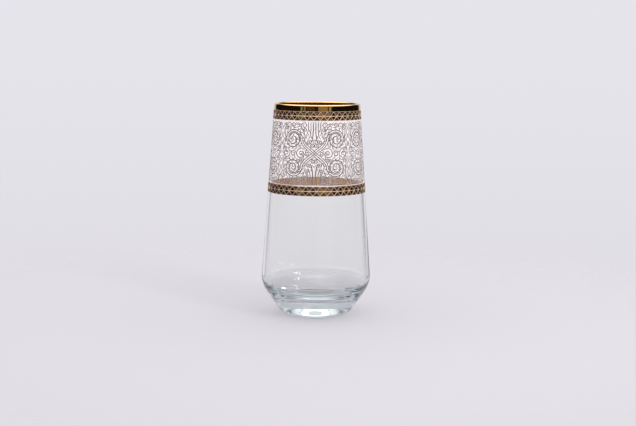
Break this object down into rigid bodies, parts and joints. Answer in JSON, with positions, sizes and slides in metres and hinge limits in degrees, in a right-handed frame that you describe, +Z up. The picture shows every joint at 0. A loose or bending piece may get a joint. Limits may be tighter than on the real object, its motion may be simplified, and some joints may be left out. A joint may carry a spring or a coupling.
{
  "type": "long-drink tumbler",
  "caption": "Tall stemless drinking glass that tapers to its mouth, with a heavy drawn-in base, a gilded lip, gilded lattice bands and an etched scrollwork frieze.",
  "frame": {"origin": "centre of the foot, on the surface that the glass stands on", "axes": "+Z up along the axis of the glass, towards its mouth; the axis of one scroll pattern faces -Y"},
  "size_m": [0.0758, 0.0758, 0.1473],
  "materials": {
    "clear_glass": "clear, fire-polished",
    "polished_gold": "mirror-bright gilding",
    "lattice_gold": "bright ground under a matt lattice",
    "etched_glass": "frosted, acid-etched"
  },
  "bodies": {
    "root": {"glass_body": "clear_glass", "rim_gilding": "polished_gold", "upper_gold_band": "lattice_gold", "etched_frieze": "etched_glass", "lower_gold_band": "lattice_gold"}
  },
  "joints": []
}
